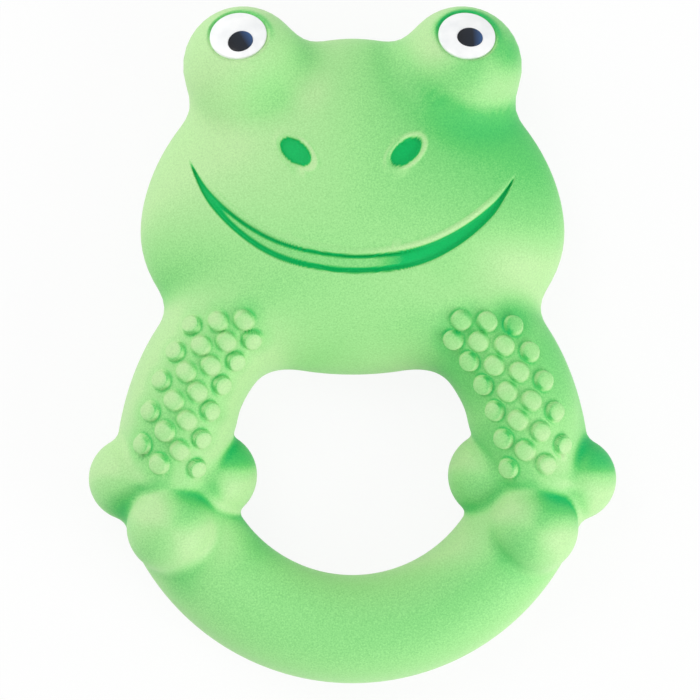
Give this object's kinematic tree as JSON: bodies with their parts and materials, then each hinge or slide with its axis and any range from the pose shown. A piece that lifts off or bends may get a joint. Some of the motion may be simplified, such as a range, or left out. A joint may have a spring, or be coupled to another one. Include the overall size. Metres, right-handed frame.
{
  "type": "frog teether",
  "caption": "Soft rubber teether in the form of a smiling frog, with nubbed arms that run into a round grip ring for a baby's hand.",
  "frame": {"origin": "middle of the outline, on the surface that the flat back lies on", "axes": "+X across the face to the viewer's right, +Y from the grip ring up to the eyes, +Z out of the face"},
  "size_m": [0.0924, 0.1185, 0.0252],
  "materials": {
    "skin": "matt moulded natural rubber, fine grain",
    "eye_white": "smooth gloss",
    "pupil": "smooth gloss",
    "wadding": "soft fibre wadding"
  },
  "bodies": {
    "root": {"front_shell": "skin", "back_shell": "skin", "left_eye_white": "eye_white", "right_eye_white": "eye_white", "left_pupil": "pupil", "right_pupil": "pupil", "head_filling": "wadding", "handle_filling": "wadding"}
  },
  "joints": []
}
